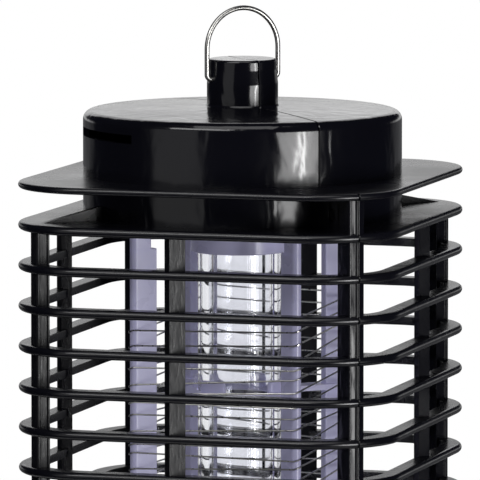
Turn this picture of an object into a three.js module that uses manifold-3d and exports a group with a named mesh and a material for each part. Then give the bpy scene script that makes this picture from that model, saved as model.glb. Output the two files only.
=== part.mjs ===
// Electric bug zapper: a hanging lantern of two black clamshell mouldings round a wound wire grid.
// Millimetres, +Z up, origin at the centre of the underside. The two mouldings meet in the upright
// plane through the front corner (+X -Y) and the back corner (-X +Y); "across" runs square to it.
import * as THREE from 'three';
import { mergeVertices } from 'three/addons/utils/BufferGeometryUtils.js';
import Module from 'manifold-3d';

const wasm = await Module();
wasm.setup();

// Cage outline and levels
const sideHalf = 62.5;
const cornerRadius = 27;
const louverPitch = 12.93;
const louverCount = 11;
const louverWidth = 6;
const louverThickness = 2.8;
const topPlateZ = 188;
const bottomPlateZ = topPlateZ - (louverCount + 1) * louverPitch;
const headFlangeZ = topPlateZ + louverPitch;
const baseFlangeZ = bottomPlateZ - louverPitch;
const flangeThickness = 2.2;

// Head, neck and bail
const drumRadius = 51.1;
const drumWall = 2;
const capTopZ = 223.6;
const capFillet = 3;
const neckRadius = 11.4;
const neckTopRadius = 10.9;
const neckTopZ = 238.9;
const neckWall = 2.4;
const bailPivotZ = 232.5;
const bailTopZ = 255.9;
const bailWireRadius = 0.8;
const bailHalfWidth = 12.85;
const ventZ = 214.7;
const ventHeight = 2.8;
const ventsDegrees = [[198.5, 243.5], [26.5, 71.5]];
const inletZ = 210;
const inletBore = 3.9;

// Seam, fastenings and running gaps
const gap = 0.3;
const columnOuter = 76.4;
const columnInner = 69;
const columnLeft = 3.3;
const columnRight = 2.4;
const sideColumnOuter = 75;
const sideColumnSize = 4.6;
const screwReach = 65;
const screwRecess = 2.1;
const screwRecessFloor = -1.8;
const screwBoss = 2.6;
const screwBossEnd = 9;
const seamAngle = -Math.PI / 4;

// Grid and lamp, which stand together a little to one side of the drum's axis
const insertX = -1;
const tubeRadius = 13.4;
const tubeBore = 10;
const collarRadius = 15.6;
const collarFlangeRadius = 20;
const collarFlangeThickness = 2;
const collarFootZ = 177;
const finReach = 35.05;
const finLength = 8.7;
const finThickness = 3.4;
const finTenonZ = 179.4;
const finTenonLength = 11;
const finTenonStep = 2;
const gridBaseZ = bottomPlateZ + louverThickness / 2 + gap;
const gridBaseThickness = 2.5;
const wireRadius = 0.25;
const windingStep = 8;
const windingTurns = 14;
const windingStartZ = 49;
const braceZ = 130.5;
const braceThickness = 1.8;
const baseArmReach = 53.5;
const leadReach = 41.4;
const leadSide = 2.2;
const leadRadius = 0.6;

// Electronics bay and tray
const boardZ = 205;
const boardFixingAlong = 30;
const boardFixingAcross = 14;
const ledBoardRadius = 19.5;
const ledLeadX = 8;
const boardThickness = 1.6;
const trayJointZ = 9.3;
const traySpigotTop = 26;
const trayFloor = 2;
const trayWall = 1.6;

const cornerAngles = {
  front: -Math.PI / 4,
  right: Math.PI / 4,
  back: 3 * Math.PI / 4,
  left: -3 * Math.PI / 4,
};

// Booleans

function toSolid(geometry) {
  const bare = geometry.clone();
  bare.deleteAttribute('normal');
  bare.deleteAttribute('uv');
  const merged = mergeVertices(bare, 1e-4);
  const corners = merged.index.array;
  const kept = [];
  for (let index = 0; index < corners.length; index += 3) {
    const [a, b, c] = corners.slice(index, index + 3);
    if (a !== b && b !== c && c !== a) kept.push(a, b, c);
  }
  return new wasm.Manifold(new wasm.Mesh({
    numProp: 3,
    vertProperties: new Float32Array(merged.attributes.position.array),
    triVerts: new Uint32Array(kept),
  }));
}

function toGeometry(solid) {
  const mesh = solid.getMesh();
  const geometry = new THREE.BufferGeometry();
  geometry.setAttribute('position', new THREE.BufferAttribute(new Float32Array(mesh.vertProperties), 3));
  geometry.setIndex(new THREE.BufferAttribute(new Uint32Array(mesh.triVerts), 1));
  geometry.computeVertexNormals();
  return geometry;
}

function join(geometries) {
  return geometries.map(toSolid).reduce((sum, next) => sum.add(next));
}

function cut(solid, geometries) {
  return geometries.map(toSolid).reduce((left, tool) => left.subtract(tool), solid);
}

// Basic forms, all standing on Z

function box(width, depth, height, x, y, z) {
  return new THREE.BoxGeometry(width, depth, height).translate(x, y, z);
}

function rod(radius, height, x, y, z, sides = 12) {
  return new THREE.CylinderGeometry(radius, radius, height, sides).rotateX(Math.PI / 2).translate(x, y, z);
}

function turned(profile, segments) {
  const points = profile.map(([radius, z]) => new THREE.Vector2(radius, z));
  return new THREE.LatheGeometry(points, segments).rotateX(Math.PI / 2);
}

// A turned ring whose profile closes on itself
function turnedRing(profile, segments) {
  return turned([...profile, profile[0]], segments);
}

function turnedTo(angle, geometry) {
  return geometry.rotateZ(angle);
}

function roundedSquare(half, radius) {
  const shape = new THREE.Shape();
  const inner = half - radius;
  shape.moveTo(half, -inner);
  shape.lineTo(half, inner);
  shape.absarc(inner, inner, radius, 0, Math.PI / 2);
  shape.absarc(-inner, inner, radius, Math.PI / 2, Math.PI);
  shape.absarc(-inner, -inner, radius, Math.PI, 1.5 * Math.PI);
  shape.absarc(inner, -inner, radius, 1.5 * Math.PI, 2 * Math.PI);
  return shape;
}

// A rounded square plate; its middle height is at z
function plate(z, thickness, hole) {
  const shape = roundedSquare(sideHalf, cornerRadius);
  if (hole) shape.holes.push(hole);
  const solid = new THREE.ExtrudeGeometry(shape, { depth: thickness, bevelEnabled: false, curveSegments: 3 });
  return solid.translate(0, 0, z - thickness / 2);
}

function roundHole(radius, x = 0) {
  const circle = new THREE.EllipseCurve(x, 0, radius, radius, 0, 2 * Math.PI, true);
  return new THREE.Path(circle.getPoints(40).slice(0, -1));
}

// Clamshell mouldings

function louvers() {
  const numbers = Array.from({ length: louverCount }, (unused, index) => index + 1);
  const levels = numbers.map((number) => topPlateZ - number * louverPitch);
  return levels.map((z) => {
    const inner = roundedSquare(sideHalf - louverWidth, cornerRadius - louverWidth);
    return plate(z, louverThickness, inner);
  });
}

// Round drum open below, with a filleted cap and a hollow neck that tapers at the bail holes
function head() {
  const floor = topPlateZ - louverThickness / 2;
  const ceiling = capTopZ - drumWall;
  const bore = drumRadius - drumWall;
  const shoulder = drumRadius - capFillet;
  const lean = capFillet * Math.SQRT1_2;
  const neckBore = neckRadius - neckWall;
  const taperStart = bailPivotZ - 1.5;
  const taperEnd = bailPivotZ + 3;
  const rim = 0.6;
  return turned([
    [0, neckTopZ - neckWall],
    [neckBore, neckTopZ - neckWall],
    [neckBore, ceiling],
    [bore, ceiling],
    [bore, floor],
    [drumRadius, floor],
    [drumRadius, capTopZ - capFillet],
    [shoulder + lean, capTopZ - capFillet + lean],
    [shoulder, capTopZ],
    [neckRadius, capTopZ],
    [neckRadius, taperStart],
    [neckTopRadius, taperEnd],
    [neckTopRadius, neckTopZ - rim],
    [neckTopRadius - rim, neckTopZ],
    [0, neckTopZ],
  ], 40);
}

function baseBand() {
  const top = bottomPlateZ + louverThickness / 2;
  const bottom = trayJointZ + gap;
  const bore = drumRadius - drumWall;
  return turnedRing([[bore, bottom], [drumRadius, bottom], [drumRadius, top], [bore, top]], 40);
}

// Column along the seam at the front or back corner, its outer end eased
function seamColumn(angle, facing) {
  const ease = 0.5;
  const shape = new THREE.Shape([
    [columnInner, -columnLeft],
    [columnOuter - ease, -columnLeft],
    [columnOuter, ease - columnLeft],
    [columnOuter, columnRight - ease],
    [columnOuter - ease, columnRight],
    [columnInner, columnRight],
  ].map(([reach, side]) => new THREE.Vector2(reach, side * facing)));
  const depth = headFlangeZ - baseFlangeZ;
  const column = new THREE.ExtrudeGeometry(shape, { depth, bevelEnabled: false });
  return turnedTo(angle, column.translate(0, 0, baseFlangeZ));
}

// Webs on the seam that tie the column to the drum between the paired plates
function seamWebs(angle, facing) {
  const start = drumRadius - drumWall / 2;
  const length = columnInner + 1 - start;
  return [headFlangeZ, bottomPlateZ].map((top) => {
    const across = facing * (columnRight - columnLeft) / 2;
    const width = columnLeft + columnRight;
    const web = box(length, width, louverPitch, start + length / 2, across, top - louverPitch / 2);
    return turnedTo(angle, web);
  });
}

// Column and webs of one seam corner; facing is 1 at the front corner and -1 at the back one,
// where the two halves swap sides
function seamWall(angle, facing) {
  return [seamColumn(angle, facing), ...seamWebs(angle, facing)];
}

function sideColumn(angle) {
  const size = sideColumnSize;
  const height = topPlateZ - bottomPlateZ;
  const column = box(size, size, height, sideColumnOuter - size / 2, 0, bottomPlateZ + height / 2);
  return turnedTo(angle, column);
}

// Slats near the middle of each face, all lying along the direction the moulds part; those on the
// faces beside the side columns are short
function faceSlats() {
  const thickness = 3.2;
  const long = 5.8;
  const short = 4;
  const out = 57.9;
  const longSide = 4.7;
  const shortSide = 6.8;
  const height = topPlateZ - bottomPlateZ;
  return [
    [long, -longSide, -out],
    [long, longSide, out],
    [short, -out, -shortSide],
    [short, out, shortSide],
  ].map(([length, x, y]) => {
    const slat = new THREE.BoxGeometry(length, thickness, height).rotateZ(Math.PI / 4);
    return slat.translate(x, y, bottomPlateZ + height / 2);
  });
}

// Low wedge on the top plate, from the drum towards the side corner
function gusset(angle) {
  const start = drumRadius - drumWall / 2;
  const thickness = 2;
  const rise = 5;
  const shape = new THREE.Shape();
  shape.moveTo(start, 0);
  shape.lineTo(sideColumnOuter - sideColumnSize / 2, 0);
  shape.lineTo(start, rise);
  const wedge = new THREE.ExtrudeGeometry(shape, { depth: thickness, bevelEnabled: false });
  wedge.translate(0, 0, -thickness / 2).rotateX(Math.PI / 2).translate(0, 0, topPlateZ + 1);
  return turnedTo(angle, wedge);
}

function boardBosses() {
  return boardFixings().map(([x, y]) => {
    const height = boardZ - gap - topPlateZ;
    return rod(3.2, height, x, y, topPlateZ + height / 2);
  });
}

function boardFixings() {
  const places = [[boardFixingAlong, boardFixingAcross], [-boardFixingAlong, -boardFixingAcross]];
  return places.map(([reach, side]) => {
    const point = new THREE.Vector2(reach, side).rotateAround(new THREE.Vector2(), seamAngle);
    return [point.x, point.y];
  });
}

// A rod lying square to the seam, from one distance across it to another
function acrossRod(radius, from, to, reach, z, sides = 12) {
  const lying = new THREE.CylinderGeometry(radius, radius, to - from, sides);
  return turnedTo(seamAngle, lying.translate(reach, (from + to) / 2, z));
}

function screwPlaces() {
  const levels = [topPlateZ + louverPitch / 2, bottomPlateZ - louverPitch / 2];
  return levels.flatMap((z) => [[screwReach, z], [-screwReach, z]]);
}

function ventSlot([from, to]) {
  const start = THREE.MathUtils.degToRad(from);
  const end = THREE.MathUtils.degToRad(to);
  const shape = new THREE.Shape();
  shape.absarc(0, 0, drumRadius + 2, start, end, false);
  shape.absarc(0, 0, drumRadius - drumWall - 2, end, start, true);
  const slot = new THREE.ExtrudeGeometry(shape, { depth: ventHeight, bevelEnabled: false, curveSegments: 6 });
  return slot.translate(0, 0, ventZ);
}

// Slots in the top plate for the tenons of the fins
function gridSlots() {
  const inner = finReach - finLength / 2 + finTenonStep - gap;
  const outer = finReach + finLength / 2 + gap;
  return Object.values(cornerAngles).map((angle) => {
    const width = finThickness + 2 * gap;
    const slot = box(outer - inner, width, 2 * louverThickness, (inner + outer) / 2, 0, topPlateZ);
    return turnedTo(angle, slot).translate(insertX, 0, 0);
  });
}

function leadPlaces() {
  return [-leadSide, leadSide].map((across) => {
    const point = new THREE.Vector2(leadReach, across).rotateAround(new THREE.Vector2(), cornerAngles.back);
    return [point.x + insertX, point.y];
  });
}

function wholeCase() {
  const drumHole = drumRadius - drumWall / 2;
  const solid = join([
    head(),
    baseBand(),
    plate(headFlangeZ, flangeThickness, roundHole(drumHole)),
    plate(topPlateZ, louverThickness, roundHole(collarRadius + gap, insertX)),
    plate(bottomPlateZ, louverThickness, roundHole(drumHole)),
    plate(baseFlangeZ, flangeThickness, roundHole(drumHole)),
    ...louvers(),
    ...seamWall(cornerAngles.front, 1),
    ...seamWall(cornerAngles.back, -1),
    ...[cornerAngles.left, cornerAngles.right].flatMap((angle) => [sideColumn(angle), gusset(angle)]),
    ...faceSlats(),
    ...boardBosses(),
    ...screwPlaces().map(([reach, z]) => acrossRod(screwBoss, columnRight - 1, screwBossEnd, reach, z)),
  ]);
  const inletHole = rod(inletBore, 4 * drumWall, 0, 0, 0).rotateY(Math.PI / 2);
  const boardPilot = 1.2;
  const boardPilotDepth = 9;
  const casePilot = 1.1;
  return cut(solid, [
    ...ventsDegrees.map(ventSlot),
    acrossRod(bailWireRadius + gap, -neckRadius - 2, neckRadius + 2, 0, bailPivotZ),
    turnedTo(cornerAngles.back, inletHole.translate(drumRadius - drumWall / 2, 0, inletZ)),
    ...gridSlots(),
    ...leadPlaces().map(([x, y]) => rod(leadRadius + gap, 2 * louverThickness, x, y, topPlateZ)),
    ...boardFixings().map(([x, y]) => rod(boardPilot, boardPilotDepth, x, y, boardZ - boardPilotDepth / 2)),
    ...screwPlaces().flatMap(([reach, z]) => [
      acrossRod(screwRecess, -columnLeft - 1, screwRecessFloor, reach, z),
      acrossRod(casePilot, screwRecessFloor - 1, screwBossEnd - 1, reach, z),
    ]),
  ]);
}

// The half of the case on one side of the seam plane, which is side -1 or +1
function halfCase(whole, side) {
  const reach = 200;
  const block = box(2 * reach, reach, 2 * reach, 0, side * (reach / 2 + gap / 2), bailTopZ / 2);
  return toGeometry(whole.intersect(toSolid(turnedTo(seamAngle, block))));
}

// Bail

// A path through listed points; each step of a sweep along it lands on a point
class PointPath extends THREE.Curve {
  constructor(points) {
    super();
    this.points = points;
  }

  getPoint(t, target = new THREE.Vector3()) {
    const place = Math.min(Math.max(t, 0), 1) * (this.points.length - 1);
    const index = Math.min(Math.floor(place), this.points.length - 2);
    return target.lerpVectors(this.points[index], this.points[index + 1], place - index);
  }

  getPointAt(u, target) {
    return this.getPoint(u, target);
  }

  getTangentAt(u, target) {
    return this.getTangent(u, target);
  }
}

function wireAlong(points, radius, sides) {
  const section = new THREE.Shape();
  for (let index = 0; index < sides; index += 1) {
    const angle = (index / sides) * 2 * Math.PI;
    const x = radius * Math.cos(angle);
    const y = radius * Math.sin(angle);
    if (index === 0) section.moveTo(x, y);
    else section.lineTo(x, y);
  }
  const extrudePath = new PointPath(points);
  return new THREE.ExtrudeGeometry(section, { steps: points.length - 1, extrudePath, bevelEnabled: false });
}

// Half of the bail in its own plane: foot, bend, leg and quarter arch
function bailSide() {
  const bend = 1.6;
  const footReach = 7.6;
  const archZ = bailTopZ - bailWireRadius - bailHalfWidth;
  const bendCentre = bailHalfWidth - bend;
  const points = [[footReach, bailPivotZ]];
  for (let index = 0; index <= 4; index += 1) {
    const angle = -Math.PI / 2 + (index / 4) * (Math.PI / 2);
    points.push([bendCentre + bend * Math.cos(angle), bailPivotZ + bend + bend * Math.sin(angle)]);
  }
  for (let index = 0; index <= 8; index += 1) {
    const angle = (index / 8) * (Math.PI / 2);
    points.push([bailHalfWidth * Math.cos(angle), archZ + bailHalfWidth * Math.sin(angle)]);
  }
  return points;
}

function bail() {
  const right = bailSide();
  const left = right.slice(0, -1).reverse().map(([side, z]) => [-side, z]);
  const points = [...right, ...left].map(([side, z]) => new THREE.Vector3(0, side, z));
  return turnedTo(seamAngle, wireAlong(points, bailWireRadius, 8));
}

// Lamp

function lampCollar() {
  const seat = topPlateZ + louverThickness / 2 + gap;
  const bore = tubeRadius + gap;
  return turnedRing([
    [bore, collarFootZ],
    [collarRadius, collarFootZ],
    [collarRadius, seat],
    [collarFlangeRadius, seat],
    [collarFlangeRadius, seat + collarFlangeThickness],
    [bore, seat + collarFlangeThickness],
  ], 32).translate(insertX, 0, 0);
}

function lampTube() {
  const bottom = gridBaseZ + gridBaseThickness + gap;
  const top = topPlateZ + 0.5;
  const tube = turnedRing([[tubeBore, bottom], [tubeRadius, bottom], [tubeRadius, top], [tubeBore, top]], 32);
  return tube.translate(insertX, 0, 0);
}

const ledBoardZ = topPlateZ + louverThickness / 2 + 2 * gap + collarFlangeThickness;

function ledBoard() {
  return rod(ledBoardRadius, boardThickness, insertX, 0, ledBoardZ + boardThickness / 2, 32);
}

function uvLeds() {
  const count = 5;
  const size = 3.5;
  const height = 1.6;
  const ring = 6;
  return Array.from({ length: count }, (unused, index) => {
    const led = box(size, size, height, ring, 0, ledBoardZ - gap - height / 2);
    return turnedTo(index * 2 * Math.PI / count, led).translate(insertX, 0, 0);
  });
}

function ledLeads() {
  const start = ledBoardZ + boardThickness + gap;
  const length = boardZ - gap - start;
  return [-ledLeadX, ledLeadX].map((x) => rod(leadRadius, length, x, 0, start + length / 2, 8));
}

// Wire grid

// Upright fin on a corner diagonal with a rounded outer edge and a narrower tenon at the top
function gridFin(angle) {
  const inner = finReach - finLength / 2;
  const outer = finReach + finLength / 2;
  const half = finThickness / 2;
  const outline = (start) => {
    const shape = new THREE.Shape();
    shape.moveTo(start, -half);
    shape.lineTo(outer - half, -half);
    shape.absarc(outer - half, 0, half, -Math.PI / 2, Math.PI / 2);
    shape.lineTo(start, half);
    return shape;
  };
  const foot = gridBaseZ + gridBaseThickness + gap;
  const length = finTenonZ - foot;
  const extruded = (start, depth) => {
    return new THREE.ExtrudeGeometry(outline(start), { depth, bevelEnabled: false, curveSegments: 3 });
  };
  const body = extruded(inner, length).translate(0, 0, foot);
  const tenon = extruded(inner + finTenonStep, finTenonLength + 1).translate(0, 0, finTenonZ - 1);
  const solid = join([body, tenon]);
  return turnedTo(angle, toGeometry(solid)).translate(insertX, 0, 0);
}

function diagonalArms(width, from, to, bottom, height) {
  return Object.values(cornerAngles).map((angle) => {
    return turnedTo(angle, box(to - from, width, height, (from + to) / 2, 0, bottom + height / 2));
  });
}

function finSlots(from, to, bottom, height) {
  return diagonalArms(finThickness + 2 * gap, from, to, bottom, height);
}

// Plate half way up: forks on the four fins, claws standing round the tube
function gridBrace() {
  const bore = tubeRadius + gap;
  const hubRadius = 18.5;
  const armWidth = 7;
  const clawThickness = 2.2;
  const clawHeight = 4.6;
  const clawSpan = THREE.MathUtils.degToRad(36);
  const firstClaw = THREE.MathUtils.degToRad(-108);
  const top = braceZ + braceThickness;
  const hub = turnedRing([[bore, braceZ], [hubRadius, braceZ], [hubRadius, top], [bore, top]], 32);
  const claws = [0, 1, 2, 3].map((quarter) => {
    const shape = new THREE.Shape();
    const start = firstClaw + quarter * Math.PI / 2 - clawSpan / 2;
    const end = start + clawSpan;
    shape.absarc(0, 0, bore + 0.2 + clawThickness, start, end, false);
    shape.absarc(0, 0, bore + 0.2, end, start, true);
    const extrusion = { depth: clawHeight, bevelEnabled: false, curveSegments: 4 };
    const claw = new THREE.ExtrudeGeometry(shape, extrusion);
    return claw.translate(0, 0, top - braceThickness / 3);
  });
  const arms = diagonalArms(armWidth, bore + 2, finReach, braceZ, braceThickness);
  const solid = join([hub, ...claws, ...arms]);
  const forkInner = finReach - finLength / 2 - gap;
  const forks = finSlots(forkInner, finReach + finLength, braceZ - 1, braceThickness + 2);
  const forked = cut(solid, forks);
  return toGeometry(forked).translate(insertX, 0, 0);
}

// Spider under the grid: cup for the tube's foot and four arms that rest on the bottom plate
function gridBase() {
  const bore = tubeRadius + gap;
  const rim = bore + 2.6;
  const rimHeight = 7;
  const armWidth = 7;
  const floor = gridBaseZ + gridBaseThickness;
  const cup = turned([
    [0, gridBaseZ],
    [rim, gridBaseZ],
    [rim, floor + rimHeight],
    [bore, floor + rimHeight],
    [bore, floor],
    [0, floor],
  ], 32);
  const arms = diagonalArms(armWidth, bore + 1, baseArmReach, gridBaseZ, gridBaseThickness);
  return toGeometry(join([cup, ...arms])).translate(insertX, 0, 0);
}

// One bare wire wound round the four fins, rising evenly
function windingWire(start) {
  const roundCentre = finReach + finLength / 2 - finThickness / 2;
  const bend = finThickness / 2 + wireRadius + 0.4;
  const cornerRise = 0.06;
  const points = [];
  const corners = windingTurns * 4;
  for (let corner = 0; corner < corners; corner += 1) {
    const angle = cornerAngles.left + corner * Math.PI / 2;
    for (const turn of [-1, 0, 1]) {
      const lean = angle + turn * Math.PI / 4;
      points.push(new THREE.Vector3(
        insertX + roundCentre * Math.cos(angle) + bend * Math.cos(lean),
        roundCentre * Math.sin(angle) + bend * Math.sin(lean),
        start + (corner + turn * cornerRise) * windingStep / 4,
      ));
    }
  }
  return wireAlong(points, wireRadius, 4);
}

function gridLead([x, y]) {
  const bottom = windingStartZ + (windingTurns + 0.5) * windingStep;
  const length = boardZ - gap - bottom;
  return rod(leadRadius, length, x, y, bottom + length / 2, 8);
}

// Electronics in the head

function onBoard(geometry) {
  return turnedTo(seamAngle, geometry);
}

function driverBoard() {
  const length = 84;
  const width = 40;
  const screwHole = 1.6;
  const board = onBoard(box(length, width, boardThickness, 0, 0, boardZ + boardThickness / 2));
  const holes = boardFixings().map(([x, y]) => rod(screwHole, 4 * boardThickness, x, y, boardZ));
  return toGeometry(cut(toSolid(board), holes));
}

const partsZ = boardZ + boardThickness + gap;

function filmCapacitors() {
  const [length, width, height] = [5.5, 13, 10.5];
  const across = -10;
  return [-22, -13, -4, 5].map((along) => {
    return onBoard(box(length, width, height, along, across, partsZ + height / 2));
  });
}

function smoothingCapacitor() {
  const radius = 5;
  const height = 11;
  const [along, across] = [18, -11];
  return onBoard(rod(radius, height, along, across, partsZ + height / 2, 20));
}

function lyingParts(places, radius, length) {
  return places.map(([along, across]) => {
    const body = new THREE.CylinderGeometry(radius, radius, length, 10);
    return onBoard(body.translate(along, across, partsZ + radius));
  });
}

function diodes() {
  const radius = 1.4;
  const length = 5;
  return lyingParts([[-24, 5], [-18, 5], [-12, 5], [-6, 5]], radius, length);
}

function resistors() {
  const radius = 1.3;
  const length = 6.5;
  return lyingParts([[4, 6], [12, 6]], radius, length);
}

// Fasteners, inlet and tray

function caseScrews() {
  const headRadius = 1.7;
  const headThickness = 0.9;
  const shankRadius = 0.8;
  const shankEnd = 7;
  const seat = screwRecessFloor - gap;
  return screwPlaces().map(([reach, z]) => {
    const head = acrossRod(headRadius, seat - headThickness, seat, reach, z, 16);
    const shank = acrossRod(shankRadius, seat - headThickness / 2, shankEnd, reach, z, 10);
    return toGeometry(join([head, shank]));
  });
}

function boardScrews() {
  const headRadius = 2.4;
  const headThickness = 1.5;
  const shankRadius = 0.9;
  const shankLength = 7.5;
  const seat = boardZ + boardThickness + gap;
  return boardFixings().map(([x, y]) => {
    const head = rod(headRadius, headThickness, x, y, seat + headThickness / 2, 16);
    const shank = rod(shankRadius, shankLength, x, y, seat - shankLength / 2, 10);
    return toGeometry(join([head, shank]));
  });
}

// Rubber bush clamped between the halves where a mains lead would enter
function cordInlet() {
  const outerFace = drumRadius + gap + 0.1;
  const innerFace = drumRadius - drumWall - 0.6;
  const flange = 1.5;
  const bore = 2.2;
  const waist = inletBore - 0.4;
  const bush = new THREE.LatheGeometry([
    [bore, innerFace - flange],
    [waist + flange, innerFace - flange],
    [waist + flange, innerFace],
    [waist, innerFace],
    [waist, outerFace],
    [waist + flange, outerFace],
    [waist + 1, outerFace + flange],
    [bore, outerFace + flange],
    [bore, innerFace - flange],
  ].map(([radius, reach]) => new THREE.Vector2(radius, reach)), 20);
  return turnedTo(cornerAngles.back, bush.rotateZ(-Math.PI / 2).translate(0, 0, inletZ));
}

// Round cup that pushes up into the base band and is also the foot of the lantern
function catchTray() {
  const spigot = drumRadius - drumWall - gap;
  const ease = 1.6;
  return turned([
    [0, 0],
    [drumRadius - ease, 0],
    [drumRadius, ease],
    [drumRadius, trayJointZ],
    [spigot, trayJointZ],
    [spigot, traySpigotTop],
    [spigot - trayWall, traySpigotTop],
    [spigot - trayWall, trayFloor],
    [0, trayFloor],
  ], 48);
}

// Assembly

const blackAbs = { color: 0x0f0f11, roughness: 0.22, metalness: 0 };
const lilacPlastic = { color: 0xb4b2d4, roughness: 0.35, metalness: 0 };
const clearAcrylic = { color: 0xe6e9f2, roughness: 0.05, metalness: 0 };
const steel = { color: 0xb9bbbd, roughness: 0.25, metalness: 1 };
const boardGreen = { color: 0x2d5b3a, roughness: 0.5, metalness: 0 };
const componentRed = { color: 0x8d3528, roughness: 0.4, metalness: 0 };
const darkSleeve = { color: 0x1c1c24, roughness: 0.4, metalness: 0 };
const ledWhite = { color: 0xe9e7c8, roughness: 0.4, metalness: 0 };
const leadRed = { color: 0xa8231f, roughness: 0.45, metalness: 0 };
const rubber = { color: 0x171717, roughness: 0.7, metalness: 0 };

const zapper = new THREE.Group();

function add(name, geometry, finish) {
  const mesh = new THREE.Mesh(geometry, new THREE.MeshStandardMaterial(finish));
  mesh.name = name;
  zapper.add(mesh);
}

function addEach(name, geometries, finish) {
  geometries.forEach((geometry, index) => add(`${name}_${index + 1}`, geometry, finish));
}

const whole = wholeCase();
add('shell_left', halfCase(whole, -1), blackAbs);
add('shell_right', halfCase(whole, 1), blackAbs);
add('catch_tray', catchTray(), blackAbs);
add('bail', bail(), steel);
add('lamp_collar', lampCollar(), lilacPlastic);
add('lamp_tube', lampTube(), clearAcrylic);
add('led_board', ledBoard(), boardGreen);
addEach('uv_led', uvLeds(), ledWhite);
addEach('led_lead', ledLeads(), leadRed);
for (const [corner, angle] of Object.entries(cornerAngles)) {
  add(`grid_fin_${corner}`, gridFin(angle), lilacPlastic);
}
add('grid_brace', gridBrace(), lilacPlastic);
add('grid_base', gridBase(), lilacPlastic);
add('grid_wire_live', windingWire(windingStartZ), steel);
add('grid_wire_return', windingWire(windingStartZ + windingStep / 2), steel);
const [livePlace, returnPlace] = leadPlaces();
add('grid_lead_live', gridLead(livePlace), leadRed);
add('grid_lead_return', gridLead(returnPlace), leadRed);
add('driver_board', driverBoard(), boardGreen);
addEach('film_capacitor', filmCapacitors(), componentRed);
add('smoothing_capacitor', smoothingCapacitor(), darkSleeve);
addEach('diode', diodes(), darkSleeve);
addEach('resistor', resistors(), componentRed);
addEach('board_screw', boardScrews(), steel);
addEach('case_screw', caseScrews(), steel);
add('cord_inlet', cordInlet(), rubber);

export default zapper;
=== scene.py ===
import math

import bmesh
import bpy
from mathutils import Matrix, Vector


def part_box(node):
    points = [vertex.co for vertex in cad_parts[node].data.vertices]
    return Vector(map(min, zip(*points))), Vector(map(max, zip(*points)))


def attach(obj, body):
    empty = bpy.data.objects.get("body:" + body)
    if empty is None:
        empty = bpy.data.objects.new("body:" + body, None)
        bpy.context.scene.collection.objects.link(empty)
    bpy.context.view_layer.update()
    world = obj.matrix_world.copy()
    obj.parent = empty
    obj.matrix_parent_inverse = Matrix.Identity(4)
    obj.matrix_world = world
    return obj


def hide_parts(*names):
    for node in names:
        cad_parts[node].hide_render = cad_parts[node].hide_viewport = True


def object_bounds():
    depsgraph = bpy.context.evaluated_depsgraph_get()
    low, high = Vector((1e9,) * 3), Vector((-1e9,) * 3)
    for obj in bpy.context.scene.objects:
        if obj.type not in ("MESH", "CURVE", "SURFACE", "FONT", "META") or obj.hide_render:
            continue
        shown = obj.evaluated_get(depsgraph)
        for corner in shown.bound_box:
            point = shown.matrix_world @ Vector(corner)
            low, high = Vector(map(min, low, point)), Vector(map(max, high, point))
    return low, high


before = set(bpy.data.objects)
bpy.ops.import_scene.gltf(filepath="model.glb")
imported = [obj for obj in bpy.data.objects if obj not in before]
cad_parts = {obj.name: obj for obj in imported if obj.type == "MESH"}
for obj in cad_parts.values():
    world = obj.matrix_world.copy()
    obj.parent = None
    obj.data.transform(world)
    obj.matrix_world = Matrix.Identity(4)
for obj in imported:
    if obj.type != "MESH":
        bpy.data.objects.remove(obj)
cad_low, cad_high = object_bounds()

# Camera. A long lens far off, level with the louvres and a little above them, so that upright
# edges stay parallel and the plates show a sliver of their tops.
view_azimuth = math.radians(16.8)
view_rise = math.radians(6.1)
view_distance = 2.4
view_width = 0.154
view_shift = -0.0008
view_drop = 0.0755
look_at = Vector((view_shift * math.cos(view_azimuth), view_shift * math.sin(view_azimuth),
                  cad_high[2] - view_drop))

to_camera = Vector((
    math.sin(view_azimuth) * math.cos(view_rise),
    -math.cos(view_azimuth) * math.cos(view_rise),
    math.sin(view_rise),
))
camera_data = bpy.data.cameras.new("camera")
camera_data.sensor_width = 36
camera_data.lens = camera_data.sensor_width * view_distance / view_width
camera_data.clip_end = 100
camera = bpy.data.objects.new("camera", camera_data)
bpy.context.collection.objects.link(camera)
camera.location = look_at + to_camera * view_distance
camera.rotation_euler = (-to_camera).to_track_quat("-Z", "Y").to_euler()
bpy.context.scene.camera = camera
bpy.context.scene.view_settings.view_transform = "Standard"


# Studio. A white sweep behind the lantern and a dark room in front of it: a bright softbox on
# the right with a hot core, a wide dim one on the left, one above, one high in front that
# reaches in between the louvres, and a soft fill behind.
def hex_colour(code):
    channels = [int(code[index:index + 2], 16) / 255 for index in (0, 2, 4)]
    linear = [c / 12.92 if c <= 0.04045 else ((c + 0.055) / 1.055) ** 2.4 for c in channels]
    return (*linear, 1)


def add_node(tree, kind, settings=None, links=None):
    node = tree.nodes.new(kind)
    for name, value in (settings or {}).items():
        if name in node.inputs.keys():
            node.inputs[name].default_value = value
        elif isinstance(name, int):
            node.inputs[name].default_value = value
        else:
            setattr(node, name, value)
    for name, source in (links or {}).items():
        tree.links.new(source, node.inputs[name])
    return node


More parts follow.
